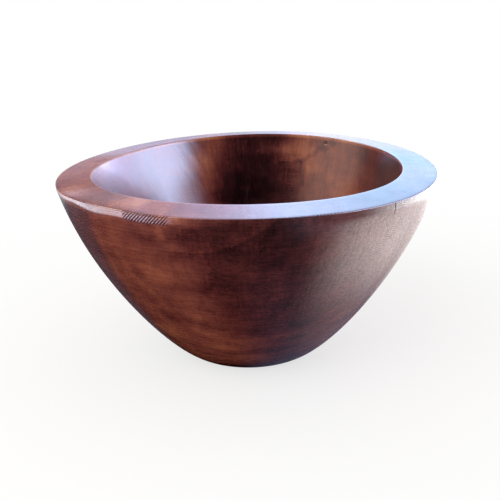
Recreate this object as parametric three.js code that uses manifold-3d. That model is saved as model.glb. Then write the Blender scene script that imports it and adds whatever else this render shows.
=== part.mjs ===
// A turned wooden bowl. Millimetres, +Z up, origin at the centre of the foot.
//
// The vessel is one block of wood, turned thick. Its rim falls outwards to a narrow flat land, and the
// wall curves in below that to a flat foot. A dead pin knot sits in its socket in the inner wall, a short
// seasoning check crosses the land, and a felt disc is glued into the chuck recess under the foot.

import * as THREE from "three";
import { mergeVertices } from "three/addons/utils/BufferGeometryUtils.js";
import Module from "manifold-3d";

const wasm = await Module();
wasm.setup();

// Driving dimensions of the vessel
const bowlHeight = 130; // foot to the inner edge of the rim, the highest point
const rimRadius = 125; // outer edge of the rim's face
const rimWidth = 22.5; // measured level, from outer to inner edge
const rimFall = 2.2; // the outer edge lies this much below the inner edge
const landHeight = 5; // flat band under the rim's outer edge
const landTaper = 0.3; // the land's lower edge is this much smaller in radius
const footRadius = 41;
const floorThickness = 18; // foot plane to the inside of the floor
const edgeEase = 0.8; // sharp edges of the rim are broken by this much

// Lean and fullness of the outer and inner curves
const outerRise = 6; // degrees from level, where the wall leaves the foot
const outerLean = 16; // degrees from upright, where it meets the land
const outerFootPull = 14; // how far the curve runs on in those two directions
const outerLandPull = 66;
const innerLean = 18; // degrees from upright, at the rim
const innerRimPull = 70;
const innerFloorPull = 65;

// Felt disc in the foot
const footRingWidth = 12; // flat ring that the bowl stands on, round the recess
const feltThickness = 2;
const feltInset = 0.7; // the felt stays this far above the table
const glueGap = 0.3; // round the felt and above it

// Pin knot in the inner wall
const knotWidth = 3.2;
const knotTallness = 1.9;
const knotLength = 7; // how far it reaches into the wall
const knotDrop = 4.3; // its centre lies this much below the rim's inner edge
const knotAzimuth = 143.3; // degrees from the front, towards +X
const knotGap = 0.3; // dark seam between the knot and its socket

// Seasoning check across the land
const checkWidth = 0.6; // at the surface
const checkDepth = 3; // where it closes to nothing
const checkRun = 1.2; // how far it runs down the wall below the land
const checkAzimuth = 41.8;

// Fineness of the faceted surfaces
const turnSegments = 96;
const outerSteps = 16;
const innerSteps = 18;
const easeSteps = 2;
const discSegments = 64;
const knotSegments = 16;

// Finishes
const oiledWood = new THREE.MeshStandardMaterial({ color: 0x5a2a18, roughness: 0.38, metalness: 0 });
const deadKnot = new THREE.MeshStandardMaterial({ color: 0x1d0d08, roughness: 0.55, metalness: 0 });
const darkFelt = new THREE.MeshStandardMaterial({ color: 0x2b2622, roughness: 0.95, metalness: 0 });

const toRadians = THREE.MathUtils.degToRad;
const point = (radius, height) => new THREE.Vector2(radius, height);

// Places that follow from the dimensions
const recessDepth = feltInset + feltThickness + glueGap;
const recessRadius = footRadius - footRingWidth;
const rimInner = point(rimRadius - rimWidth, bowlHeight);
const rimOuter = point(rimRadius, bowlHeight - rimFall);
const landFoot = point(rimRadius - landTaper, rimOuter.y - landHeight);

// The outer wall, from the foot's edge up to the land.
function outerWall() {
  const foot = point(footRadius, 0);
  const rise = toRadians(outerRise);
  const lean = toRadians(outerLean);
  const footPull = foot.clone().add(point(Math.cos(rise), Math.sin(rise)).multiplyScalar(outerFootPull));
  const landPull = landFoot.clone().sub(point(Math.sin(lean), Math.cos(lean)).multiplyScalar(outerLandPull));
  return new THREE.CubicBezierCurve(foot, footPull, landPull, landFoot);
}

// The inner wall, from just under the rim's inner edge down to the middle of the floor.
function innerWall() {
  const lean = toRadians(innerLean);
  const down = point(-Math.sin(lean), -Math.cos(lean));
  const top = rimInner.clone().add(down.clone().multiplyScalar(edgeEase));
  const rimPull = top.clone().add(down.multiplyScalar(innerRimPull));
  const middle = point(0, floorThickness);
  const floorPull = point(innerFloorPull, floorThickness);
  return new THREE.CubicBezierCurve(top, rimPull, floorPull, middle);
}

// A corner broken by a short curve that starts and ends `edgeEase` away from it.
function easedCorner(before, corner, after) {
  const start = corner.clone().add(before.clone().sub(corner).setLength(edgeEase));
  const end = corner.clone().add(after.clone().sub(corner).setLength(edgeEase));
  return new THREE.QuadraticBezierCurve(start, corner, end).getPoints(easeSteps);
}

// Half of the bowl's section, from the recess under the foot, up the outside and down the inside.
function vesselProfile() {
  const outer = outerWall().getPoints(outerSteps);
  const inner = innerWall().getPoints(innerSteps);
  return [
    point(0, recessDepth),
    point(recessRadius, recessDepth),
    point(recessRadius, 0),
    ...outer,
    ...easedCorner(landFoot, rimOuter, rimInner),
    ...easedCorner(rimOuter, rimInner, inner[1]).slice(0, -1),
    ...inner,
  ];
}

// A closed geometry as a solid that can be cut and joined. Triangles that collapse on the axis are left out.
function solidFrom(geometry) {
  const bare = geometry.clone();
  bare.deleteAttribute("normal");
  bare.deleteAttribute("uv");
  const merged = mergeVertices(bare);
  const corners = merged.index.array;
  const kept = [];
  for (let i = 0; i < corners.length; i += 3) {
    const [a, b, c] = corners.slice(i, i + 3);
    if (a !== b && b !== c && c !== a) kept.push(a, b, c);
  }
  return new wasm.Manifold(
    new wasm.Mesh({
      numProp: 3,
      vertProperties: merged.attributes.position.array,
      triVerts: new Uint32Array(kept),
    }),
  );
}

// The solid's surface, ready for a mesh.
function geometryFrom(solid) {
  const surface = solid.getMesh();
  const geometry = new THREE.BufferGeometry();
  geometry.setAttribute("position", new THREE.BufferAttribute(surface.vertProperties, 3));
  geometry.setIndex(new THREE.BufferAttribute(surface.triVerts, 1));
  geometry.computeVertexNormals();
  return geometry;
}

// Turns a geometry that was made facing +X so that it faces an azimuth, counted from the front.
function facing(geometry, azimuth) {
  return geometry.rotateZ(toRadians(azimuth - 90));
}

// The whole vessel before the socket and the check are cut.
function turnedBlank() {
  const lathe = new THREE.LatheGeometry(vesselProfile(), turnSegments);
  return solidFrom(lathe.rotateX(Math.PI / 2));
}

// Radius of the inner wall at a height, found by halving.
function innerRadiusAt(height) {
  const wall = innerWall();
  let above = 0;
  let below = 1;
  while (below - above > 1e-6) {
    const middle = (above + below) / 2;
    if (wall.getPoint(middle).y > height) above = middle;
    else below = middle;
  }
  return wall.getPoint(above).x;
}

// An oval peg that lies level and points out through the inner wall, larger all round by `growth`.
function knotPeg(growth) {
  const height = bowlHeight - knotDrop;
  const length = 2 * (knotLength + growth); // half of it stands in the hollow
  const peg = new THREE.CylinderGeometry(1, 1, length, knotSegments);
  peg.rotateZ(Math.PI / 2);
  peg.scale(1, knotWidth / 2 + growth, knotTallness / 2 + growth);
  peg.translate(innerRadiusAt(height), 0, height);
  return solidFrom(facing(peg, knotAzimuth));
}

// A wedge that stands upright, open at the land and closing inwards.
function checkWedge() {
  const mouth = rimRadius + edgeEase;
  const halfMouth = (checkWidth / 2) * (1 + edgeEase / checkDepth);
  const outline = new THREE.Shape([
    point(rimRadius - checkDepth, 0),
    point(mouth, -halfMouth),
    point(mouth, halfMouth),
  ]);
  const bottom = landFoot.y - checkRun;
  const wedge = new THREE.ExtrudeGeometry(outline, { depth: bowlHeight - bottom, bevelEnabled: false });
  wedge.translate(0, 0, bottom);
  return solidFrom(facing(wedge, checkAzimuth));
}

function named(name, geometry, material) {
  const mesh = new THREE.Mesh(geometry, material);
  mesh.name = name;
  return mesh;
}

function bowlBody(blank) {
  const cut = blank.subtract(knotPeg(knotGap)).subtract(checkWedge());
  return named("bowl_body", geometryFrom(cut), oiledWood);
}

function pinKnot(blank) {
  return named("pin_knot", geometryFrom(blank.intersect(knotPeg(0))), deadKnot);
}

function feltDisc() {
  const disc = new THREE.CylinderGeometry(recessRadius - glueGap, recessRadius - glueGap, feltThickness, discSegments);
  disc.rotateX(Math.PI / 2);
  const mesh = named("felt_disc", disc, darkFelt);
  mesh.position.z = feltInset + feltThickness / 2;
  return mesh;
}

const blank = turnedBlank();
const bowl = new THREE.Group();
bowl.add(bowlBody(blank), pinKnot(blank), feltDisc());

export default bowl;
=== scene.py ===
"""The looks of a turned wooden bowl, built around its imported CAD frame. Metres, +Z up."""

import math

import bmesh
import bpy
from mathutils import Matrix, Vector


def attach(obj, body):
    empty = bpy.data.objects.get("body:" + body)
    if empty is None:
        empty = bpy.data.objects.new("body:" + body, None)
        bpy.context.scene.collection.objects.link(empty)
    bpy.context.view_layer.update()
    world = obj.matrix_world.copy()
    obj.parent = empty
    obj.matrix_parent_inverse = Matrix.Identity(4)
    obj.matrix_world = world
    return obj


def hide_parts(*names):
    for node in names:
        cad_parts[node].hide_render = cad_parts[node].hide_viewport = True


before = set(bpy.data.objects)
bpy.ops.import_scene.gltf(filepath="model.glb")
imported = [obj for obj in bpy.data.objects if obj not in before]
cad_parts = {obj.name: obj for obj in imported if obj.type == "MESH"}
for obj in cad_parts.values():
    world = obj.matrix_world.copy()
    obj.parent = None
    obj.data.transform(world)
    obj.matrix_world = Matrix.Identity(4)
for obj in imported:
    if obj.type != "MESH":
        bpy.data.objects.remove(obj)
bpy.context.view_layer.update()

MM = 0.001

# Sizes of the vessel, as its CAD source has them
BOWL_HEIGHT = 130 * MM
RIM_RADIUS = 125 * MM
RIM_WIDTH = 22.5 * MM
RIM_FALL = 2.2 * MM
LAND_HEIGHT = 5 * MM
LAND_TAPER = 0.3 * MM
FOOT_RADIUS = 41 * MM
FLOOR_THICKNESS = 18 * MM
EDGE_EASE = 0.8 * MM
OUTER_RISE, OUTER_LEAN = 6, 16
OUTER_FOOT_PULL, OUTER_LAND_PULL = 14 * MM, 66 * MM
INNER_LEAN = 18
INNER_RIM_PULL, INNER_FLOOR_PULL = 70 * MM, 65 * MM
RECESS_RADIUS = 29 * MM
RECESS_DEPTH = 3 * MM
FELT_INSET = 0.7 * MM
FELT_THICKNESS = 2 * MM
GLUE_GAP = 0.3 * MM
CHECK_WIDTH, CHECK_DEPTH, CHECK_RUN = 0.6 * MM, 3 * MM, 1.2 * MM
CHECK_AZIMUTH = 41.8
KNOT_WIDTH, KNOT_TALLNESS, KNOT_LENGTH = 3.2 * MM, 1.9 * MM, 7 * MM
KNOT_DROP = 4.3 * MM
KNOT_AZIMUTH = 143.3

# The check's edge is ragged, and it slants
CHECK_JAG, CHECK_SLANT = 0.9 * MM, 0.5 * MM
# Play round the knot in its socket, how far the socket's cutter stands out of the wall, and how far the
# knot's face swells out of it
SOCKET_PLAY = 0.12 * MM
CUTTER_REACH = 3 * MM
KNOT_SWELL = 0.12 * MM
# How uneven the felt's edge and its underside are
FELT_FRAY, FELT_SWELL = 0.12 * MM, 0.05 * MM

# The rim has settled in drying: it is highest at one azimuth and the one across, and dips between them
DRYING_DIP = 2.6 * MM
DRYING_HIGH = -18

# Four azimuths say where a change begins, is full, begins to fade and ends.
# On the front left the outer edge has cupped upwards, which grows over these radii and heights
EDGE_LIFT = 1.0 * MM
CUP_AZIMUTHS = (-68, -52, -37, -25)
CUP_RADII = (100 * MM, RIM_RADIUS)
CUP_HEIGHTS = (95 * MM, 122 * MM)

# On the left the wall's curve runs out into the land and narrows it, on the front left less so
LAND_LOSS = 2.5 * MM
LOSS_AZIMUTHS = (-150, -120, -57, -42)
FRONT_LOSS_AZIMUTHS = (-46, -36, -12, 8)
FRONT_LOSS_SHARE = 0.3
RUN_OUT_HEIGHT = 70 * MM
# How far the wall comes in for each length down, just under the land
UNDER_LAND_SLOPE = 0.227

# Marks of the cutter on the land. They fade in over its foot, and reach over the rim's edge
CHATTER_PITCH = 2.05 * MM
CHATTER_DEPTH = 0.15 * MM
CHATTER_LEAN = 1.0
CHATTER_FOOT_FADE = 0.6 * MM
CHATTER_RIM_REACH, CHATTER_RIM_FADE = 2.2 * MM, 1.2 * MM
# The four azimuths of a patch of marks, and its strength
CHATTER_PATCHES = [(-34.6, -33, -21.5, -18.5, 1.0), (-20, -18, -15, -10, 0.3), (14, 18, 21, 25, 0.5)]

# Columns of the vessel's mesh, in stretches that start at the check: end azimuth and step in degrees.
# They are fine at the knot, the cutter's marks and the check
NEAR_CHECK, NEAR_KNOT = 0.8, 2.3
COLUMN_START = CHECK_AZIMUTH + NEAR_CHECK
COLUMN_STRETCHES = [
    (KNOT_AZIMUTH - NEAR_KNOT, 1.6),
    (KNOT_AZIMUTH + NEAR_KNOT, 0.23),
    (360 - 38, 1.6),
    (360 - 8, 0.17),
    (360 + 13, 1.1),
    (360 + 26, 0.2),
    (360 + CHECK_AZIMUTH - NEAR_CHECK, 1.1),
    (360 + CHECK_AZIMUTH + NEAR_CHECK, 0.06),
]

# The radius less this share of the height is under the first value on the inside of the wall, and over
# the second on its outside
WALL_SLOPE = 0.56
WALL_INSIDE, WALL_OUTSIDE = 43.5 * MM, 46.5 * MM

# The tree's heart runs level through the block, from the front wall to the back, at this x and z
HEART_X, HEART_Z = 5 * MM, 122 * MM
# The pith of a branch, on the front right: azimuth, radius and height
PITH = (45, 121 * MM, 115 * MM)

# The photograph's viewpoint: degrees, lengths in rim radii, and the focal length in pixels of the picture
CAMERA_ELEVATION, CAMERA_ROLL = 12.636, -1.635
CAMERA_DISTANCE = 4.5
CAMERA_AIM = (0.006, 0, -0.4912)
FOCAL_PIXELS, PICTURE_PIXELS = 840.25, 500
SENSOR_WIDTH = 36


def rim_point(azimuth, radius, height):
    """A point at an azimuth counted in degrees from the front, towards +X."""
    turn = math.radians(azimuth)
    return Vector((radius * math.sin(turn), -radius * math.cos(turn), height))


def settled(height, azimuth):
    """A height after drying."""
    low = math.sin(math.radians(azimuth - DRYING_HIGH)) ** 2
    return height - DRYING_DIP * low * (height / BOWL_HEIGHT) ** 2


# Node trees


class Wire:
    """An output socket. Arithmetic on it adds Math nodes to its tree."""

    def __init__(self, bench, socket):
        self.bench = bench
        self.socket = socket

    def __add__(self, other):
        return self.bench.math("ADD", self, other)

    def __sub__(self, other):
        return self.bench.math("SUBTRACT", self, other)

    def __rsub__(self, other):
        return self.bench.math("SUBTRACT", other, self)

    def __mul__(self, other):
        return self.bench.math("MULTIPLY", self, other)

    def __truediv__(self, other):
        return self.bench.math("DIVIDE", self, other)

    def __pow__(self, other):
        return self.bench.math("POWER", self, other)

    __radd__ = __add__
    __rmul__ = __mul__


class Bench:
    """A node tree that is being wired, for a finish, a shape or the light."""

    def __init__(self, tree):
        self.tree = tree

    def add(self, kind, settings=None, inputs=None, output=0):
        """One node: its settings first, then the values or links of its sockets."""
        node = self.tree.nodes.new(kind)
        for name, value in (settings or {}).items():
            if name == "stops":
                self.lay_stops(node.color_ramp, value)
            else:
                setattr(node, name, value)
        for key, value in (inputs or {}).items():
            if isinstance(value, Wire):
                self.tree.links.new(value.socket, node.inputs[key])
            else:
                node.inputs[key].default_value = value
        return Wire(self, node.outputs[output] if len(node.outputs) else None)

    def lay_stops(self, ramp, stops):
        while len(ramp.elements) > 1:
            ramp.elements.remove(ramp.elements[-1])
        for i, (place, colour) in enumerate(stops):
            stop = ramp.elements[0] if i == 0 else ramp.elements.new(place)
            stop.position = place
            stop.color = (*colour, 1)

    def math(self, operation, *values):
        return self.add("ShaderNodeMath", {"operation": operation}, dict(enumerate(values)))

    def largest(self, first, second):
        return self.math("MAXIMUM", first, second)

    def sine_of(self, degrees):
        return self.math("SINE", self.math("RADIANS", degrees))

    def smooth(self, value, low, high):
        """0 below low, 1 above high, eased between them."""
        inputs = {"Value": value, "From Min": low, "From Max": high}
        return self.add("ShaderNodeMapRange", {"interpolation_type": "SMOOTHSTEP"}, inputs)

    def band(self, value, rise_from, rise_to, fall_from, fall_to):
        """1 between the two middle values, eased to 0 at the outer two."""
        return self.smooth(value, rise_from, rise_to) * (1 - self.smooth(value, fall_from, fall_to))

    def vector(self, x, y, z):
        return self.add("ShaderNodeCombineXYZ", None, {0: x, 1: y, 2: z})

    def parts(self, vector):
        node = self.add("ShaderNodeSeparateXYZ", None, {0: vector}).socket.node
        return [Wire(self, socket) for socket in node.outputs]

    def vector_math(self, operation, *values):
        return self.add("ShaderNodeVectorMath", {"operation": operation}, dict(enumerate(values)))

    def scaled(self, vector, share):
        return self.add("ShaderNodeVectorMath", {"operation": "SCALE"}, {0: vector, "Scale": share})

    def dot(self, vector, axis):
        return self.add("ShaderNodeVectorMath", {"operation": "DOT_PRODUCT"}, {0: vector, 1: axis}, 1)

    def distance(self, vector, place):
        return self.add("ShaderNodeVectorMath", {"operation": "DISTANCE"}, {0: vector, 1: place}, 1)

    def around(self, x, y):
        """The distance from the bowl's axis, and the azimuth in degrees from the front towards +X."""
        away = self.math("SQRT", x * x + y * y)
        azimuth = self.math("DEGREES", self.math("ARCTAN2", x, y * -1))
        return away, azimuth

    def noise(self, vector, scale=1.0, detail=2.0, roughness=0.5):
        inputs = {"Vector": vector, "Scale": scale, "Detail": detail, "Roughness": roughness}
        return self.add("ShaderNodeTexNoise", None, inputs)

    def swing(self, x, y, z, detail, roughness=0.5):
        """Noise that swings about 0, on axes of their own scale."""
        return self.noise(self.vector(x, y, z), 1, detail, roughness) - 0.5

    def level_swing(self, value, detail, roughness):
        """Noise that swings about 0 along one value, and is level across it."""
        inputs = {"W": value, "Scale": 1, "Detail": detail, "Roughness": roughness}
        return self.add("ShaderNodeTexNoise", {"noise_dimensions": "1D"}, inputs) - 0.5

    def mix(self, share, first, second):
        return self.add("ShaderNodeMix", {"data_type": "RGBA"}, {0: share, 6: first, 7: second}, 2)

    def mix_shader(self, share, first, second):
        return self.add("ShaderNodeMixShader", None, {0: share, 1: first, 2: second})


# Meshes and objects


def new_object(name, data):
    piece = bpy.data.objects.new(name, data)
    bpy.context.scene.collection.objects.link(piece)
    return piece


def worked_mesh(piece, name):
    """A plain mesh of the piece, with its modifiers worked in."""
    graph = bpy.context.evaluated_depsgraph_get()
    graph.update()
    mesh = bpy.data.meshes.new_from_object(piece.evaluated_get(graph))
    mesh.name = name
    return mesh


def skin(work, loops):
    """Faces between each loop of points and the next."""
    for inner, outer in zip(loops, loops[1:]):
        for i in range(len(inner)):
            j = (i + 1) % len(inner)
            work.faces.new((inner[i], outer[i], outer[j], inner[j]))


def fan(work, tip, loop):
    """Faces from a tip to a loop of points."""
    for i in range(len(loop)):
        work.faces.new((tip, loop[i], loop[(i + 1) % len(loop)]))


def finished_mesh(work, name, finish):
    """A mesh from the work, with its faces turned outwards."""
    bmesh.ops.recalc_face_normals(work, faces=work.faces[:])
    mesh = bpy.data.meshes.new(name)
    work.to_mesh(mesh)
    work.free()
    mesh.materials.append(finish)
    return mesh


# The turned vessel


def curve_points(corners, steps, start=0.0, end=1.0):
    """Points on a stretch of a Bezier curve with 3 or 4 corners."""
    points = []
    for i in range(steps + 1):
        t = start + (end - start) * i / steps
        row = [Vector(c) for c in corners]
        while len(row) > 1:
            row = [a.lerp(b, t) for a, b in zip(row, row[1:])]
        points.append(row[0])
    return points


def line_points(start, end, steps):
    return [Vector(start).lerp(Vector(end), i / steps) for i in range(steps + 1)]


def eased_corner(before, corner, after, size, steps):
    start = corner + (before - corner).normalized() * size
    end = corner + (after - corner).normalized() * size
    return curve_points([start, corner, end], steps)


RIM_INNER = Vector((RIM_RADIUS - RIM_WIDTH, BOWL_HEIGHT))
RIM_OUTER = Vector((RIM_RADIUS, BOWL_HEIGHT - RIM_FALL))
LAND_FOOT = Vector((RIM_RADIUS - LAND_TAPER, RIM_OUTER.y - LAND_HEIGHT))


def lean_vector(degrees):
    """Down along a wall that leans outwards by so many degrees."""
    turn = math.radians(degrees)
    return Vector((-math.sin(turn), -math.cos(turn)))


def inner_wall_corners():
    down = lean_vector(INNER_LEAN)
    top = RIM_INNER + down * EDGE_EASE
    floor_pull = Vector((INNER_FLOOR_PULL, FLOOR_THICKNESS))
    return [top, top + down * INNER_RIM_PULL, floor_pull, Vector((0, FLOOR_THICKNESS))]


def outer_wall_corners():
    foot = Vector((FOOT_RADIUS, 0))
    rise = math.radians(OUTER_RISE)
    foot_pull = foot + Vector((math.cos(rise), math.sin(rise))) * OUTER_FOOT_PULL
    land_pull = LAND_FOOT + lean_vector(OUTER_LEAN) * OUTER_LAND_PULL
    return [foot, foot_pull, land_pull, LAND_FOOT]


def inner_radius_at(height):
    points = curve_points(inner_wall_corners(), 400)
    return min(points, key=lambda p: abs(p.y - height)).x


def vessel_profile():
    """Half of the section, from under the foot, up the outside and down the inside."""
    recess_top = Vector((RECESS_RADIUS, RECESS_DEPTH))
    recess_edge = Vector((RECESS_RADIUS, 0))
    middle = Vector((0, RECESS_DEPTH))
    small = 0.25 * MM
    under = [middle, Vector((0.6 * RECESS_RADIUS, RECESS_DEPTH))]
    under += eased_corner(middle, recess_top, recess_edge, small, 3)
    outer = curve_points(outer_wall_corners(), 58)
    under += eased_corner(recess_top, recess_edge, outer[0], 2 * small, 4)
    under += line_points(under[-1], outer[0], 4)[1:-1]
    inner = curve_points(inner_wall_corners(), 14, 0, 0.05)
    inner += curve_points(inner_wall_corners(), 52, 0.05, 1)[1:]
    crest = eased_corner(LAND_FOOT, RIM_OUTER, RIM_INNER, EDGE_EASE, 5)
    brink = eased_corner(RIM_OUTER, RIM_INNER, inner[1], EDGE_EASE, 5)
    land = line_points(LAND_FOOT, crest[0], 6)[1:-1]
    face = line_points(crest[-1], brink[0], 10)[1:-1]
    return under + outer + land + crest + face + brink[:-1] + inner


def profile_mesh():
    """The half section as a chain of edges. Its land attribute says where the cutter's marks are full."""
    points = vessel_profile()
    mesh = bpy.data.meshes.new("vessel_profile")
    edges = [(i, i + 1) for i in range(len(points) - 1)]
    mesh.from_pydata([(p.x, 0, p.y) for p in points], edges, [])
    land = mesh.attributes.new("land", "FLOAT", "POINT")
    for i, p in enumerate(points):
        above_foot = (p.y - LAND_FOOT.y) / CHATTER_FOOT_FADE
        near_edge = (p.x - RIM_RADIUS + CHATTER_RIM_REACH) / CHATTER_RIM_FADE
        land.data[i].value = max(0.0, min(1.0, above_foot, near_edge))
    return mesh


def column_table():
    """Each stretch of columns: first and last column, first and last azimuth."""
    table = []
    column, azimuth = 0, COLUMN_START
    for end, step in COLUMN_STRETCHES:
        count = max(1, round((end - azimuth) / step))
        table.append((column, column + count, azimuth, end))
        column, azimuth = column + count, end
    return table


def cutter_bite(bench, front, height, pitch, lean):
    """How deep the cutter's slanting marks go, from 0 to about 1, at an azimuth and height."""
    marks = 0
    for *where, strength in CHATTER_PATCHES:
        marks = bench.band(front, *where) * strength + marks
    along = bench.math("RADIANS", front) * RIM_RADIUS
    stroke = (along - height * lean) / pitch
    uneven = bench.noise(bench.vector(stroke * 0.45, height * 150, 0), 1, 1)
    slot = bench.smooth(bench.math("SINE", (stroke + uneven * 0.3) * math.tau), -0.45, 0.25)
    return slot * (0.6 + uneven * 0.8) * marks


def edge_cup(bench, front, radius, height):
    """The share of the edge's lift in drying, from 0 to 1."""
    stretch = bench.band(front, *CUP_AZIMUTHS)
    near_edge = bench.smooth(radius, *CUP_RADII)
    return stretch * near_edge * bench.smooth(height, *CUP_HEIGHTS)


def check_notch(bench, front, height, given):
    """The radius that the seasoning check leaves, with a ragged edge."""
    drop = (height - given["Check Bottom"]) * (1 / (LAND_HEIGHT + CHECK_RUN))
    open_share = bench.smooth(drop, 0, 0.3) * (1 - bench.smooth(drop, 0.5, 1.0) * 0.7)
    jag = bench.swing(height * 700, 3, 0, 2) * CHECK_JAG
    aside = bench.math("RADIANS", front - given["Check Azimuth"]) * RIM_RADIUS
    aside = aside + jag + (drop - 0.6) * CHECK_SLANT
    across = bench.math("ABSOLUTE", aside) / (given["Check Width"] * 0.4 * (open_share + 0.02))
    return RIM_RADIUS - given["Check Depth"] * open_share * bench.largest(1 - across, 0)


def land_run_out(bench, front, radius, height, land_loss):
    """How much the radius loses where the wall's curve runs out into the land."""
    far_left = bench.band(front, *LOSS_AZIMUTHS)
    front_left = bench.band(front, *FRONT_LOSS_AZIMUTHS)
    lost = (far_left + front_left * FRONT_LOSS_SHARE) * land_loss
    run_out = bench.largest(lost - bench.largest(height - LAND_FOOT.y, 0), 0)
    outside = bench.smooth(radius - height * WALL_SLOPE, WALL_INSIDE, WALL_OUTSIDE)
    return run_out * UNDER_LAND_SLOPE * bench.smooth(height, RUN_OUT_HEIGHT, LAND_FOOT.y) * outside


def turning_tree(size_names):
    """Turns a half section into the vessel, and cuts the check and the cutter's marks into it."""
    tree = bpy.data.node_groups.new("turned_vessel", "GeometryNodeTree")
    tree.is_modifier = True
    tree.interface.new_socket("Geometry", in_out="OUTPUT", socket_type="NodeSocketGeometry")
    tree.interface.new_socket("Profile", in_out="INPUT", socket_type="NodeSocketGeometry")
    for name in size_names:
        tree.interface.new_socket(name, in_out="INPUT", socket_type="NodeSocketFloat")
    tree.interface.new_socket("Finish", in_out="INPUT", socket_type="NodeSocketMaterial")
    bench = Bench(tree)
    entry = bench.add("NodeGroupInput").socket.node
    given = {socket.name: Wire(bench, socket) for socket in entry.outputs}

    table = column_table()
    rows = len(vessel_profile())
    columns = table[-1][1] + 1
    grid = bench.add("GeometryNodeMeshGrid", None, {"Vertices X": columns, "Vertices Y": rows})
    index = bench.add("GeometryNodeInputIndex")
    column = bench.math("FLOOR", (index + 0.5) / rows)
    row = index - column * rows

    azimuth = COLUMN_START
    for first, last, start, end in table:
        span = {"Value": column, "From Min": first, "From Max": last, "To Min": 0, "To Max": end - start}
        azimuth = bench.add("ShaderNodeMapRange", None, span) + azimuth
    turn = bench.math("RADIANS", azimuth)
    front = bench.math("WRAP", azimuth, 180, -180)

    def sampled(data_type, field):
        inputs = {"Geometry": given["Profile"], "Value": field, "Index": row}
        return bench.add("GeometryNodeSampleIndex", {"data_type": data_type}, inputs)

    position = bench.add("GeometryNodeInputPosition")
    radius, _, height = bench.parts(sampled("FLOAT_VECTOR", position))
    land_field = bench.add("GeometryNodeInputNamedAttribute", {"data_type": "FLOAT"}, {"Name": "land"})
    land = sampled("FLOAT", land_field)

    bite = cutter_bite(bench, front, height, given["Chatter Pitch"], given["Chatter Lean"])
    turned_radius = radius - bite * land * given["Chatter Depth"]
    turned_radius = bench.math("MINIMUM", turned_radius, check_notch(bench, front, height, given))
    turned_radius = turned_radius - land_run_out(bench, front, radius, height, given["Land Loss"])

    low = bench.sine_of(azimuth - given["Drying High"])
    dry_height = height - low * low * (height / BOWL_HEIGHT) ** 2 * given["Drying Dip"]
    dry_height = dry_height + edge_cup(bench, front, radius, height) * given["Edge Lift"]
    x = turned_radius * bench.math("SINE", turn)
    y = turned_radius * bench.math("COSINE", turn) * -1
    place = bench.vector(x, y, dry_height)
    vessel = bench.add("GeometryNodeSetPosition", None, {"Geometry": grid, "Position": place})
    vessel = bench.add("GeometryNodeMergeByDistance", None, {"Geometry": vessel, "Distance": 0.004 * MM})
    vessel = bench.add("GeometryNodeSetShadeSmooth", None, {"Geometry": vessel, "Shade Smooth": True})
    vessel = bench.add("GeometryNodeRealizeInstances", None, {"Geometry": vessel})
    vessel = bench.add("GeometryNodeSetMaterial", None, {"Geometry": vessel, "Material": given["Finish"]})
    bench.add("NodeGroupOutput", None, {0: vessel})
    return tree


def shaped(name, mesh, tree, values):
    """A plain mesh object, from a mesh that a tree has worked on."""
    source = new_object(name + "_source", mesh)
    modifier = source.modifiers.new("shape", "NODES")
    modifier.node_group = tree
    for item in tree.interface.items_tree:
        if item.in_out == "INPUT" and item.name in values:
            modifier[item.identifier] = values[item.name]
    result = worked_mesh(source, name)
    bpy.data.objects.remove(source)
    return new_object(name, result)


def face_outwards(mesh):
    work = bmesh.new()
    work.from_mesh(mesh)
    bmesh.ops.recalc_face_normals(work, faces=work.faces[:])
    if work.calc_volume(signed=True) < 0:
        bmesh.ops.reverse_faces(work, faces=work.faces[:])
    work.to_mesh(mesh)
    work.free()


def turned_vessel(finish):
    sizes = {
        "Chatter Pitch": CHATTER_PITCH,
        "Chatter Depth": CHATTER_DEPTH,
        "Chatter Lean": CHATTER_LEAN,
        "Check Azimuth": CHECK_AZIMUTH,
        "Check Width": CHECK_WIDTH,
        "Check Depth": CHECK_DEPTH,
        "Check Bottom": LAND_FOOT.y - CHECK_RUN,
        "Drying Dip": DRYING_DIP,
        "Drying High": DRYING_HIGH,
        "Edge Lift": EDGE_LIFT,
        "Land Loss": LAND_LOSS,
    }
    vessel = shaped("turned_vessel", profile_mesh(), turning_tree(sizes), {**sizes, "Finish": finish})
    face_outwards(vessel.data)
    return vessel


# Knot and felt


def knot_centre():
    """The middle of the knot's face, on the inner wall."""
    height = BOWL_HEIGHT - KNOT_DROP
    return rim_point(KNOT_AZIMUTH, inner_radius_at(height), settled(height, KNOT_AZIMUTH))


def oval_peg(name, growth, dome, finish):
    """A level oval peg in the inner wall, whose face stands proud of the wall by the dome."""
    lean = math.radians(INNER_LEAN)
    half_width, half_tall = KNOT_WIDTH / 2 + growth, KNOT_TALLNESS / 2 + growth
    sides, rings = 28, 5
    turn = math.radians(KNOT_AZIMUTH)
    outward = Vector((math.sin(turn), -math.cos(turn), 0))
    aside = Vector((math.cos(turn), math.sin(turn), 0))
    up = Vector((0, 0, 1))
    centre = knot_centre()
    work = bmesh.new()

    def at(share, angle, depth):
        a, b = half_width * share * math.cos(angle), half_tall * share * math.sin(angle)
        follow = b * math.tan(lean)
        return work.verts.new(centre + aside * a + up * b + outward * (depth + follow))

    loops = []
    for ring in range(rings):
        share = (ring + 1) / rings
        crown = -dome * (1 - share**2)
        loops.append([at(share, math.tau * i / sides, crown) for i in range(sides)])
    loops.append([at(1.0, math.tau * i / sides, KNOT_LENGTH + growth) for i in range(sides)])
    fan(work, at(0, 0, -dome), loops[0])
    skin(work, loops)
    work.faces.new(loops[-1])
    mesh = finished_mesh(work, name, finish)
    for face in mesh.polygons:
        face.use_smooth = len(face.vertices) < 5
    return new_object(name, mesh)


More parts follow.
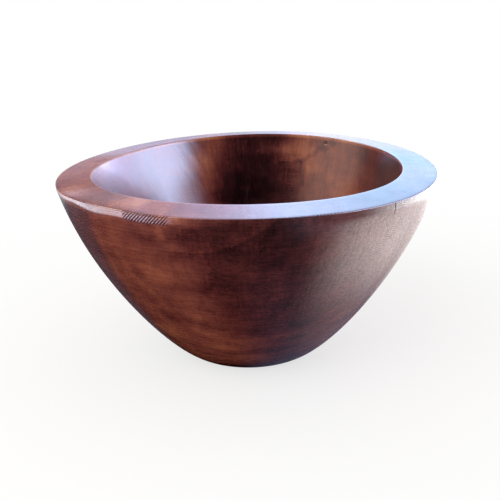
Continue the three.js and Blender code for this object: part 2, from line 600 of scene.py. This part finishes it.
def cut_socket(vessel, knot_finish):
    """Cuts the knot's socket into the inner wall."""
    cutter = oval_peg("socket_cutter", SOCKET_PLAY, CUTTER_REACH, knot_finish)
    cut = vessel.modifiers.new("socket", "BOOLEAN")
    cut.operation = "DIFFERENCE"
    cut.solver = "EXACT"
    cut.object = cutter
    result = worked_mesh(vessel, vessel.name)
    vessel.modifiers.remove(cut)
    vessel.data = result
    bpy.data.objects.remove(cutter)


def felt_pad(finish):
    """A cut disc of felt with a softened, slightly uneven edge."""
    radius = RECESS_RADIUS - GLUE_GAP
    sides = 144
    soft = 0.5 * MM
    low, high = FELT_INSET, FELT_INSET + FELT_THICKNESS
    section = [(radius * k / 12, low) for k in range(1, 12)]
    section += [(radius - soft, low), (radius - 0.3 * soft, low + 0.3 * soft), (radius, low + soft)]
    section += [(radius, high - soft), (radius - soft, high), (radius * 0.5, high)]
    work = bmesh.new()

    def at(r, z, angle):
        if r > radius - soft:
            r = r + FELT_FRAY * (math.sin(17 * angle + 1.3) * math.sin(29 * angle) - 1)
        elif z == low:
            z = z + FELT_SWELL * math.sin(5 * angle + 40 * r / radius)
        return work.verts.new((r * math.cos(angle), r * math.sin(angle), z))

    loops = [[at(r, z, math.tau * i / sides) for i in range(sides)] for r, z in section]
    fan(work, work.verts.new((0, 0, low)), loops[0])
    fan(work, work.verts.new((0, 0, high)), loops[-1])
    skin(work, loops)
    mesh = finished_mesh(work, "felt_pad", finish)
    mesh.shade_smooth()
    return new_object("felt_pad", mesh)


# Finishes


def new_finish(name):
    material = bpy.data.materials.new(name)
    material.use_nodes = True
    material.node_tree.nodes.clear()
    return material, Bench(material.node_tree)


def object_place(bench):
    return bench.add("ShaderNodeTexCoord", None, None, "Object")


# Tones of the wood, from the heart's near black to the palest orange
WOOD_TONES = [
    (0.0, (0.008, 0.0012, 0.0018)),
    (0.18, (0.036, 0.0050, 0.0060)),
    (0.34, (0.078, 0.0120, 0.0110)),
    (0.50, (0.130, 0.0270, 0.0190)),
    (0.64, (0.195, 0.0460, 0.0270)),
    (0.80, (0.290, 0.0830, 0.0400)),
    (1.0, (0.450, 0.1700, 0.0800)),
]
# A plum hue, partly the wood's own and partly a painted bluish reflection
PLUM_AND_PAINTED_SHEEN = (0.050, 0.0130, 0.0170, 1)
# Darker colour in the cutter's marks: torn fibres, and painted shade in the cuts
TORN_FIBRES_AND_SHADE = (0.040, 0.009, 0.013, 1)
KNOT_DARK, KNOT_PALE = (0.030, 0.005, 0.004, 1), (0.110, 0.018, 0.012, 1)
FELT_DARK, FELT_PALE = (0.010, 0.008, 0.007, 1), (0.060, 0.047, 0.038, 1)

# How deep the bump of the wood is, and the slope that its hollow gives to the inner left wall
BUMP_DEPTH = 0.3 * MM
HOLLOW_TILT = 0.06

# Pale and dark patches of the figure: azimuth in degrees, radius, height, half width and half height in
# millimetres, and how much they change the tone
FIGURE_PATCHES = [
    # on the rim and the land
    (-37, 111, 129, 15, 9, 0.40),
    (-50, 112.6, 129, 10, 9, -0.05),
    (-19, 115.3, 129, 8, 9, -0.12),
    (-66, 116, 129, 26, 9, 0.22),
    (-95, 113, 129, 60, 14, 0.18),
    (-17, 113, 129, 40, 8, 0.32),
    (-11, 113, 129, 9, 6, -0.09),
    (-5, 115, 129, 6, 6, -0.08),
    (-27, 124.8, 125, 16, 4, -0.28),
    (-3, 124.6, 124.5, 45, 5, -0.07),
    # on the outer wall
    (-23.3, 123, 117.5, 3.5, 7, 0.15),
    (-18.8, 122, 113.7, 9, 6, -0.07),
    (-31, 123, 118, 10, 6, -0.10),
    (-14, 121, 111, 11, 13, -0.07),
    (-28, 122.3, 115, 18, 6, -0.07),
    (-10, 118.5, 104, 12, 9, 0.07),
    (9, 123, 116.5, 20, 9, -0.11),
    (-24, 121.5, 112, 26, 9, -0.10),
    (0, 123.3, 118, 6, 5, -0.06),
    (-32, 105, 75.6, 14, 8, 0.07),
    (-19.5, 120.5, 109.7, 8, 4, 0.10),
    (-36, 116.5, 99.5, 12, 5, 0.08),
    (-28.7, 111.4, 88, 14, 8, 0.12),
    (-0.7, 114.6, 95, 7, 12, 0.06),
    (2, 100, 67, 26, 22, 0.06),
    (8, 81, 38, 22, 16, 0.12),
    (-32.7, 99.6, 65.8, 14, 6, -0.06),
    (-19.8, 95.7, 59.3, 12, 7, 0.10),
    (-31.9, 92.5, 54.3, 14, 6, -0.08),
    (-9, 77, 32.7, 22, 14, 0.20),
    (2, 62, 16, 24, 12, 0.20),
    (-74, 110, 95, 38, 46, -0.14),
    (-40, 80, 37, 10, 12, 0.10),
    # on the inner wall
    (96, 99, 116, 36, 44, -0.40),
    (-159, 95.5, 109, 14, 18, 0.16),
    (128, 91, 95, 22, 13, 0.16),
    (117, 99, 118, 10, 12, -0.12),
    (-170, 88, 90, 16, 24, -0.22),
    (171, 99.5, 121, 22, 9, 0.17),
    (165, 97, 114, 9, 8, 0.12),
    (122, 100, 121, 8, 10, -0.20),
    (151, 93, 101, 7, 10, 0.14),
    (158, 86, 86, 12, 9, -0.12),
    (139.7, 101.3, 126.2, 4, 3, -0.24),
    (143.2, 99.3, 120.3, 4.5, 3, -0.24),
    (147, 96.6, 112, 10, 14, 0.12),
    (156.7, 98.6, 118, 18, 12, 0.20),
    (137.6, 94.8, 106.7, 5, 18, 0.15),
    (129.2, 99.3, 120.1, 7, 6, -0.14),
    (166.4, 94.8, 106.8, 6, 8, 0.11),
    (160, 97, 113.5, 6, 7, 0.07),
    (-166, 100.4, 123.5, 10, 6, 0.10),
]

# Thin growth lines on the inner wall: both ends and thickness in millimetres, and the change of tone
GROWTH_LINES = [
    ((58.6, 81.4, 123.0), (42.1, 86.2, 109.9), 5.5, -0.15),
    ((42.1, 86.2, 109.9), (26.1, 91.7, 108.4), 5.5, -0.13),
    ((42.8, 85.6, 109.3), (42.3, 79.5, 93.4), 4, -0.18),
]

# A matt spot on the inner wall, at the back left, given as a patch of the figure is
MATT_SPOT = (-157, 88, 88, 30, 26)


def patch(bench, place, azimuth, radius, height, half_width, half_height):
    """1 in the middle of an oval patch, eased to 0 at its edge."""
    centre = rim_point(azimuth, radius * MM, height * MM)
    shrink = Vector((1 / half_width, 1 / half_width, 1 / half_height)) / MM
    offset = Vector([-c * k for c, k in zip(centre, shrink)])
    local = bench.vector_math("MULTIPLY_ADD", place, shrink, offset)
    return 1 - bench.smooth(bench.distance(local, (0, 0, 0)), 0.25, 1.15)


def seam(bench, place, start, end, thickness):
    """1 on the line between two points, eased to 0 at half its thickness."""
    start, end = Vector(start) * MM, Vector(end) * MM
    direction = (end - start).normalized()
    along = bench.dot(place, direction) - start.dot(direction)
    along = bench.math("MINIMUM", bench.largest(along, 0), (end - start).length)
    nearest = bench.vector_math("ADD", bench.scaled(direction, along), start)
    return 1 - bench.smooth(bench.distance(place, nearest), 0.15 * thickness * MM, 0.5 * thickness * MM)


def wandering(bench, place):
    """The place, moved about a little, so that no patch has a smooth outline."""
    inputs = {"Vector": place, "Scale": 150, "Detail": 2, "Roughness": 0.6}
    wander = bench.add("ShaderNodeTexNoise", None, inputs, "Color")
    reach = Vector((3, 3, 3)) * MM
    moved = bench.vector_math("MULTIPLY_ADD", wander, reach * 2, place)
    return bench.vector_math("SUBTRACT", moved, reach)


class WoodField:
    """Where a point of the wood lies on the bowl, and the uneven patterns that its figure is made of."""

    def __init__(self, bench):
        self.bench = bench
        self.place = object_place(bench)
        self.x, self.y, self.z = bench.parts(self.place)
        self.from_axis, self.azimuth = bench.around(self.x, self.y)
        self.height = self.height_before_drying()
        self.lay_patterns()
        self.find_zones()

    def height_before_drying(self):
        low = self.bench.sine_of(self.azimuth - DRYING_HIGH)
        dip = low * low * (self.z / BOWL_HEIGHT) ** 2 * DRYING_DIP
        lift = edge_cup(self.bench, self.azimuth, self.from_axis, self.z) * EDGE_LIFT
        return self.z + dip - lift

    def lay_patterns(self):
        bench = self.bench
        x, y, z, from_axis, azimuth = self.x, self.y, self.z, self.from_axis, self.azimuth
        self.lobes = bench.swing(x * 17, y * 6, z * 17, 2)
        self.ripple = bench.swing(x * 80, y * 30, z * 80, 3, 0.6)
        self.mottle = bench.swing(x * 34, y * 34, z * 90, 4, 0.62)
        self.streak = bench.swing(x * 26, y * 26, z * 620, 3, 0.6)
        self.hatch = bench.swing(azimuth * 1.7, z * 70, from_axis * 70, 2, 0.6)
        self.flame = bench.swing(azimuth * 0.30 - z * 93, z * 25, from_axis * 40, 2, 0.55)
        self.grain = bench.noise(self.place, 800, 2, 0.6) - 0.5
        self.turning = bench.level_swing((z + from_axis * 0.6) * 480, 2, 0.5)
        self.brushed = bench.level_swing((z * 0.7 + from_axis) * 1100, 1, 0.5)
        self.rim_lines = bench.level_swing(from_axis * 450, 2, 0.6)

    def find_zones(self):
        bench, height, from_axis = self.bench, self.height, self.from_axis
        at_top = bench.smooth(height, 126.5 * MM, 127.5 * MM)
        self.on_rim = at_top * bench.smooth(from_axis, 102 * MM, 102.6 * MM)
        outside = bench.smooth(from_axis - self.z * WALL_SLOPE, WALL_INSIDE, WALL_OUTSIDE)
        self.inside = (1 - outside) * (1 - self.on_rim)
        self.front = bench.smooth(self.y * -1, 20 * MM, 90 * MM)
        # The sides and the back of the outer wall, where the photograph gives no figure to follow
        self.unseen = (1 - self.front) * (1 - self.inside) * (1 - self.on_rim)
        # Where the lines of tool and brush show
        self.tooled = 1 - self.on_rim - self.inside * 0.6
        above_foot = bench.smooth(height, LAND_FOOT.y - 0.3 * MM, LAND_FOOT.y + 0.5 * MM)
        self.on_land = above_foot * bench.smooth(from_axis, RIM_RADIUS - 1.6 * MM, RIM_RADIUS - 0.8 * MM)
        outer_wall = (1 - self.inside) * (1 - bench.smooth(height, LAND_FOOT.y - 1 * MM, LAND_FOOT.y))
        # A strip down the left of the outer wall, darkened in tone as painted shade, with its grain and
        # speckle weakened
        self.shaded_left_side = bench.band(self.azimuth + self.ripple * 9, -120, -90, -52, -46) * outer_wall
        self.sound = self.sound_wood()

    def sound_wood(self):
        """0 in the dark core and 1 beside it.

        The core leans to the right going down the front wall, and is narrower in the back wall.
        """
        bench, x, front = self.bench, self.x, self.front
        sway = self.lobes * (20 * MM) + self.ripple * (14 * MM)
        left_edge = front * ((118 * MM - self.z) * 0.38 - 22 * MM) - 12 * MM
        right_edge = front * (9 * MM) + 24 * MM
        pale_left = bench.smooth(left_edge - x + sway, -18 * MM, 24 * MM)
        pale_right = bench.smooth(x - right_edge + sway, -12 * MM, 24 * MM) * (1 - front * 0.35)
        return bench.largest(pale_left, pale_right)


def slanting_line(bench, wood):
    """A slanting line on the front, as a change of tone: paler just above it, darker below."""
    reach = bench.largest(wood.x + 34 * MM, 0)
    above = wood.height - 106 * MM - reach * reach * 8.5 + wood.ripple * (2 * MM)
    over = bench.smooth(above, -0.5 * MM, 0.8 * MM)
    pale_side = over * (1 - bench.smooth(above, 2 * MM, 16 * MM))
    dark_side = bench.smooth(above, -12 * MM, -1 * MM) * (1 - over)
    in_width = bench.band(wood.x, -52 * MM, -28 * MM, 10 * MM, 24 * MM)
    on_front = bench.smooth(wood.y * -1, 60 * MM, 90 * MM) * in_width
    return (pale_side * 0.10 - dark_side * 0.02) * on_front


def heartwood_tone(bench, wood):
    """The tone of the wood, as a place among its tones, with painted shade on the left of the outer wall
    and a painted highlight along the rim's inner edge.
    """
    inside, on_rim, unseen = wood.inside, wood.on_rim, wood.unseen
    back_core = (1 - wood.front) * (1 - wood.sound)
    aside, up = wood.x - HEART_X, wood.z - HEART_Z
    from_heart = bench.math("SQRT", aside * aside + up * up)
    ring_radius = from_heart + wood.lobes * (30 * MM) + wood.ripple * (5 * MM)
    broad_rings = bench.level_swing(ring_radius / (22 * MM), 2, 0.5)
    rings = bench.level_swing(ring_radius / (6 * MM), 3, 0.6)

    tone = wood.sound * 0.37 + 0.19 - back_core * 0.16
    tone = tone + broad_rings * (0.22 + unseen * 0.3)
    tone = tone + rings * (0.16 + unseen * 0.4)
    tone = tone + wood.mottle * 0.50
    tone = tone + wood.flame * 0.14
    tone = tone + wood.grain * (0.38 - on_rim * 0.30 - inside * 0.18 - wood.shaded_left_side * 0.24)
    tone = tone + wood.streak * (0.17 - inside * 0.15 + unseen * 0.2)
    tone = tone + wood.hatch * (0.28 + inside * 0.10)
    tone = tone + wood.turning * (1 - inside * 0.6) * 0.04
    tone = tone + wood.brushed * wood.tooled * 0.06
    tone = tone + wood.rim_lines * on_rim * 0.2
    tone = tone + slanting_line(bench, wood)
    place = wandering(bench, wood.place)
    for *where, change in FIGURE_PATCHES:
        tone = tone + patch(bench, place, *where) * change
    for start, end, thickness, change in GROWTH_LINES:
        tone = tone + seam(bench, place, start, end, thickness) * change
    # A painted highlight: the tone is lifted along the rim's inner edge
    painted_brink_highlight = bench.band(wood.from_axis, 101.5 * MM, 102.0 * MM, 102.5 * MM, 103.0 * MM)
    painted_brink_highlight = painted_brink_highlight * bench.smooth(wood.z, 124 * MM, 127 * MM)
    # Painted shade darkens the left strip
    return tone - wood.shaded_left_side * 0.26 + painted_brink_highlight * 0.3


def pith_arcs(bench, wood):
    """Fine rings round the pith, which the rim doesn't show."""
    from_pith = bench.distance(wood.place, rim_point(*PITH)) + wood.ripple * (4 * MM)
    waves = bench.math("SINE", from_pith * (math.tau / (1.3 * MM)))
    return waves * (1 - bench.smooth(from_pith, 8 * MM, 40 * MM)) * (1 - wood.on_rim)


def wood_relief(bench, wood, arcs):
    """The height of the wood's bump, in shares of its depth."""
    sunk = (BOWL_HEIGHT - wood.z) * bench.smooth(wood.z, 32 * MM, 90 * MM)
    hollow = bench.band(wood.azimuth, -140, -118, -102, -86) * wood.inside * sunk
    hollow = hollow * (HOLLOW_TILT / BUMP_DEPTH)
    fine = wood.flame * 0.5 + wood.turning * 0.03 + wood.streak * 0.03 + wood.hatch * 0.05 + arcs * 0.06
    return fine + hollow


def oiled_wood():
    """Reddish heartwood: a dark core, rings round it, streaked and mottled figure, turning lines."""
    finish, bench = new_finish("oiled_wood")
    wood = WoodField(bench)
    inside, on_rim = wood.inside, wood.on_rim
    colour = bench.add("ShaderNodeValToRGB", {"stops": WOOD_TONES}, {"Fac": heartwood_tone(bench, wood)})
    # Towards the right of the front wall the colour turns plum: partly the wood's hue, partly a painted
    # bluish reflection
    colour = bench.mix(bench.smooth(wood.x, 0, 70 * MM) * wood.front * 0.3, colour, PLUM_AND_PAINTED_SHEEN)
    arcs = pith_arcs(bench, wood)
    relief = wood_relief(bench, wood, arcs)
    normal = bench.add("ShaderNodeBump", None, {"Strength": 1.0, "Distance": BUMP_DEPTH, "Height": relief})

    glare = 1 - bench.smooth(wood.azimuth * -1, 142, 160)
    roughness = 0.27 + inside * (wood.sound * glare * 0.09 - 0.05)
    roughness = roughness + wood.mottle * 0.08
    roughness = roughness + (wood.turning + wood.brushed) * wood.tooled * 0.06
    speckle = (wood.grain * 2.2 + wood.hatch * 0.9 + arcs * 0.4) * (1 - inside) * (1 - on_rim)
    speckle = speckle * (1 - wood.shaded_left_side * 0.85)
    polish = 0.4 + speckle + (wood.rim_lines * 0.12 + wood.mottle * 0.6 + wood.ripple * 0.4) * on_rim
    polished = bench.add(
        "ShaderNodeBsdfPrincipled",
        None,
        {
            "Base Color": colour,
            "Roughness": roughness,
            "Normal": normal,
            "Specular IOR Level": 0.7,
            "Coat Weight": polish,
            "Coat Roughness": 0.16,
        },
    )

    # Matt where the cutter has torn the fibres, and where handling has dulled the wood. In the cutter's
    # marks the colour goes darker too: partly torn fibres, partly painted shade in the cuts
    torn = cutter_bite(bench, wood.azimuth, wood.height, CHATTER_PITCH, CHATTER_LEAN) * wood.on_land
    matt = bench.add("ShaderNodeBsdfDiffuse", None, {"Color": bench.mix(torn, colour, TORN_FIBRES_AND_SHADE)})
    dull_spot = patch(bench, wood.place, *MATT_SPOT) * 0.6
    dull_rim = bench.band(wood.azimuth, -126, -108, -74, -45) * on_rim * 0.55
    dull = bench.largest(torn, bench.largest(dull_spot, dull_rim))
    bench.add("ShaderNodeOutputMaterial", None, {"Surface": bench.mix_shader(dull, polished, matt)})
    return finish


def dead_knot():
    """Near-black knot with fine rings of its own."""
    finish, bench = new_finish("dead_knot")
    place = object_place(bench)
    away = bench.distance(place, knot_centre())
    rough = bench.noise(place, 2500, 3)
    rings = bench.math("SINE", away * (math.tau / (0.35 * MM)) + rough * 4)
    colour = bench.mix(rings * 0.3 + rough * 0.6, KNOT_DARK, KNOT_PALE)
    normal = bench.add("ShaderNodeBump", None, {"Strength": 0.4, "Distance": 0.1 * MM, "Height": rough})
    inputs = {"Base Color": colour, "Roughness": 0.45 + rough * 0.2, "Normal": normal}
    surface = bench.add("ShaderNodeBsdfPrincipled", None, inputs)
    bench.add("ShaderNodeOutputMaterial", None, {"Surface": surface})
    return finish


def dark_felt():
    """Pressed wool: short fibres in all directions, matt, with paler flecks."""
    finish, bench = new_finish("dark_felt")
    place = object_place(bench)
    bent = bench.noise(place, 300, 2)
    x, y, z = bench.parts(place)
    hair = bench.noise(bench.vector(x * 1600 + bent * 9, y * 420 + bent * 5, z * 900), 1, 3, 0.65)
    cross = bench.noise(bench.vector(x * 430 + bent * 6, y * 1500 + bent * 8, z * 900), 1, 3, 0.65)
    nap = (hair + cross) * 0.5
    blotch = bench.noise(place, 90, 2)
    paler = nap * 1.3 - 0.2 + (blotch - 0.5) * 0.5
    normal = bench.add("ShaderNodeBump", None, {"Strength": 0.7, "Distance": 0.3 * MM, "Height": nap})
    surface = bench.add(
        "ShaderNodeBsdfPrincipled",
        None,
        {
            "Base Color": bench.mix(paler, FELT_DARK, FELT_PALE),
            "Roughness": 0.95,
            "Normal": normal,
            "Sheen Weight": 0.4,
            "Sheen Roughness": 0.5,
        },
    )
    bench.add("ShaderNodeOutputMaterial", None, {"Surface": surface})
    return finish


# Stage: floor, lights and camera


def glow(bench, colour, strength, share):
    """A colour times a number of the bench, as a vector that may pass 1."""
    return bench.scaled(tuple(c * strength for c in colour), share)


def summed(bench, glows):
    total = glows[0]
    for other in glows[1:]:
        total = bench.vector_math("ADD", total, other)
    return total


def floor_glows(bench, x, y, away, azimuth):
    """Painted light that the gloss sees on the floor, where the floor glows: on the right, on the far left
    and behind.
    """
    right = bench.band(azimuth - (away - 0.165) * 120, 27, 58, 74, 126)
    right_reach = bench.smooth(away, 0.08, 0.21) + bench.smooth(away, 0.04, 0.09) * 0.07
    right_front = bench.band(azimuth, 14, 30, 48, 62) * bench.smooth(away, 0.19, 0.23)
    right_back = bench.band(azimuth, 100, 135, 160, 178) * bench.smooth(away, 0.05, 0.12)
    far_right = bench.band(azimuth, 52, 88, 140, 175) * bench.smooth(away, 0.31, 0.42)
    near_right = bench.band(azimuth, -15, 25, 140, 175) * (1 - bench.smooth(away, 0.1, 0.2))
    far_off = bench.smooth(away, 0.34, 0.44)
    far_left = bench.band(azimuth, -145, -92, -50, -34) * far_off
    chatter_side = bench.band(azimuth, -74, -62, -50, -39) * far_off
    left_strip = bench.smooth(y + x * 0.224 + 0.028, -0.004, 0.008) * bench.smooth(x * -1, 0.02, 0.06)
    behind = bench.smooth(y, 0.2, 0.5)
    return [
        glow(bench, (1.0, 0.92, 0.91), 2.75, right * right_reach),
        glow(bench, (0.80, 0.74, 1.0), 0.4, right_front),
        glow(bench, (1.0, 0.98, 0.98), 1.1, right_back),
        glow(bench, (0.86, 0.98, 1.05), 2.8, far_right),
        glow(bench, (0.95, 1.04, 1.2), 4.2, far_left),
        glow(bench, (1.0, 0.74, 1.02), 4.2, chatter_side),
        glow(bench, (0.95, 0.72, 0.86), 0.11, left_strip),
        glow(bench, (0.6, 0.6, 1.0), 0.15, near_right),
        glow(bench, (0.6, 0.7, 1.0), 9.0, behind * bench.smooth(x / away, 0.05, 0.45)),
        glow(bench, (0.75, 0.85, 1.0), 0.8, behind),
    ]


def pale_floor():
    """A white floor that keeps the bowl's shadow and runs on into the white backdrop. To the gloss it
    glows with painted light.
    """
    finish, bench = new_finish("pale_floor")
    x, y, _ = bench.parts(object_place(bench))
    away, azimuth = bench.around(x, y)
    far = bench.smooth(away, 0.1, 0.45) * 0.3 + 0.7
    seen = bench.add("ShaderNodeLightPath", None, None, "Is Camera Ray")
    glossy = bench.add("ShaderNodeLightPath", None, None, "Is Glossy Ray")
    matt = bench.add("ShaderNodeBsdfDiffuse", None, {"Color": (0.92, 0.92, 0.92, 1)})
    white = bench.add("ShaderNodeEmission", None, {"Color": (1, 1, 1, 1), "Strength": 1})
    # Painted light, which only glossy rays see on the floor
    painted_floor_glow = summed(bench, floor_glows(bench, x, y, away, azimuth))
    painted_shine = bench.add("ShaderNodeEmission", None, {"Color": painted_floor_glow, "Strength": 1})
    surface = bench.mix_shader(glossy, bench.mix_shader(far * seen, matt, white), painted_shine)
    bench.add("ShaderNodeOutputMaterial", None, {"Surface": surface})
    finish.cycles.emission_sampling = "NONE"
    half = 30
    corners = [(-half, -half, 0), (half, -half, 0), (half, half, 0), (-half, half, 0)]
    mesh = bpy.data.meshes.new("pale_floor")
    mesh.from_pydata(corners, [], [(0, 1, 2, 3)])
    mesh.materials.append(finish)
    new_object("pale_floor", mesh)


# Soft windows that the gloss shows: colour, strength, azimuths from behind and elevations where each
# begins, is full, begins to fade and ends, and how much its elevations rise for each degree past 90.
# The last one is the ceiling
WINDOWS = [
    ((0.55, 0.62, 1.0), 10.5, (22, 40, 60, 88), (6, 12, 20, 27), 0.2),
    ((0.54, 0.68, 1.0), 15.5, (60, 90, 114, 140), (0, 6, 19, 26), 0.2),
    ((0.57, 0.64, 1.0), 4.0, (22, 40, 116, 140), (14, 26, 60, 85), 0),
    ((1.0, 1.0, 1.05), 9.0, (-90, -78, -50, -40), (28, 36, 60, 75), 0),
    ((0.43, 0.70, 1.06), 3.5, (-3, 6, 14, 30), (3, 12, 34, 50), 0),
    ((0.95, 0.85, 1.25), 1.9, (-12, -3, 2, 12), (3, 12, 34, 50), 0),
    ((1.0, 0.74, 0.78), 0.5, (-30, -20, -10, -3), (3, 12, 34, 50), 0),
    ((0.97, 0.94, 1.08), 1.4, (-8, 6, 40, 60), (-8, -3, 3, 12), 0),
    ((0.6, 0.75, 1.1), 1.2, (-60, -42, -10, 0), (-10, -5, 5, 11), 0),
    ((1.0, 0.76, 0.95), 1.7, (-30, -20, -14, -9), (4, 7, 8, 11), 0),
    ((1.0, 0.88, 0.77), 1.4, (-136, -110, -85, -62), (0, 8, 30, 45), 0),
    ((1.0, 0.95, 1.0), 1.6, (-150, -125, -40, -25), (34, 48, 80, 90), 0),
    ((0.70, 0.74, 1.0), 0.9, (-200, -190, 190, 200), (50, 70, 100, 110), 0),
]


def studio_world():
    """Soft even light all round, windows in the gloss, and a white backdrop for the camera."""
    world = bpy.data.worlds.new("studio")
    bpy.context.scene.world = world
    world.use_nodes = True
    world.node_tree.nodes.clear()
    bench = Bench(world.node_tree)
    seen = bench.add("ShaderNodeLightPath", None, None, "Is Camera Ray")
    glossy = bench.add("ShaderNodeLightPath", None, None, "Is Glossy Ray")
    x, y, z = bench.parts(bench.add("ShaderNodeTexCoord", None, None, "Generated"))
    azimuth = bench.math("DEGREES", bench.math("ARCTAN2", x, y))
    elevation = bench.math("DEGREES", bench.math("ARCSINE", z))
    windows = []
    for colour, strength, turns, heights, slant in WINDOWS:
        share = bench.band(azimuth, *turns) * bench.band(elevation - (azimuth - 90) * slant, *heights)
        windows.append(glow(bench, colour, strength, share))
    dome = bench.add("ShaderNodeBackground", None, {"Color": (1, 0.98, 0.96, 1), "Strength": 0.85})
    room = bench.add("ShaderNodeBackground", None, {"Color": summed(bench, windows), "Strength": 1})
    backdrop = bench.add("ShaderNodeBackground", None, {"Color": (1, 1, 1, 1), "Strength": 1})
    sky = bench.mix_shader(seen, bench.mix_shader(glossy, dome, room), backdrop)
    bench.add("ShaderNodeOutputWorld", None, {"Surface": sky})
    world.cycles.sampling_method = "NONE"


def softbox(name, centre, aim, width, height, colour, radiance):
    """A lamp for the matt light alone. The windows give the gloss."""
    light = bpy.data.lights.new(name, "AREA")
    light.shape = "RECTANGLE"
    light.size, light.size_y = width, height
    light.color = colour
    light.energy = radiance * math.pi * width * height
    lamp = new_object(name, light)
    lamp.location = centre
    lamp.rotation_euler = (Vector(aim) - Vector(centre)).to_track_quat("-Z", "Y").to_euler()
    lamp.visible_camera = False
    lamp.visible_glossy = False


def photo_camera():
    """The photograph's viewpoint, fitted to the rim's ellipses and the silhouette."""
    rim_centre = Vector((0, 0, BOWL_HEIGHT))
    elevation = math.radians(CAMERA_ELEVATION)
    backwards = Vector((0, -math.cos(elevation), math.sin(elevation)))
    place = rim_centre + backwards * (CAMERA_DISTANCE * RIM_RADIUS)
    aim = rim_centre + Vector(CAMERA_AIM) * RIM_RADIUS
    lens = bpy.data.cameras.new("photo_camera")
    lens.sensor_width = SENSOR_WIDTH
    lens.lens = SENSOR_WIDTH * FOCAL_PIXELS / PICTURE_PIXELS
    lens.clip_start = 0.01
    camera = new_object("photo_camera", lens)
    camera.location = place
    camera.rotation_euler = (aim - place).to_track_quat("-Z", "Y").to_euler()
    camera.rotation_euler.rotate_axis("Z", math.radians(CAMERA_ROLL))
    bpy.context.scene.camera = camera


def dress(piece, node):
    """Makes a piece stand for its CAD node."""
    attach(piece, "root")
    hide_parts(node)


photo_camera()
wood_finish, knot_finish = oiled_wood(), dead_knot()
vessel = turned_vessel(wood_finish)
cut_socket(vessel, knot_finish)
dress(vessel, "bowl_body")
dress(oval_peg("pin_knot_face", 0, KNOT_SWELL, knot_finish), "pin_knot")
dress(felt_pad(dark_felt()), "felt_disc")
pale_floor()
studio_world()
softbox(
    "key",
    centre=(-0.7, -0.9, 1.0),
    aim=(0, 0, 0.1),
    width=1.2,
    height=1.0,
    colour=(1.0, 0.98, 0.95),
    radiance=2.6,
)
bpy.context.scene.view_settings.view_transform = "Standard"
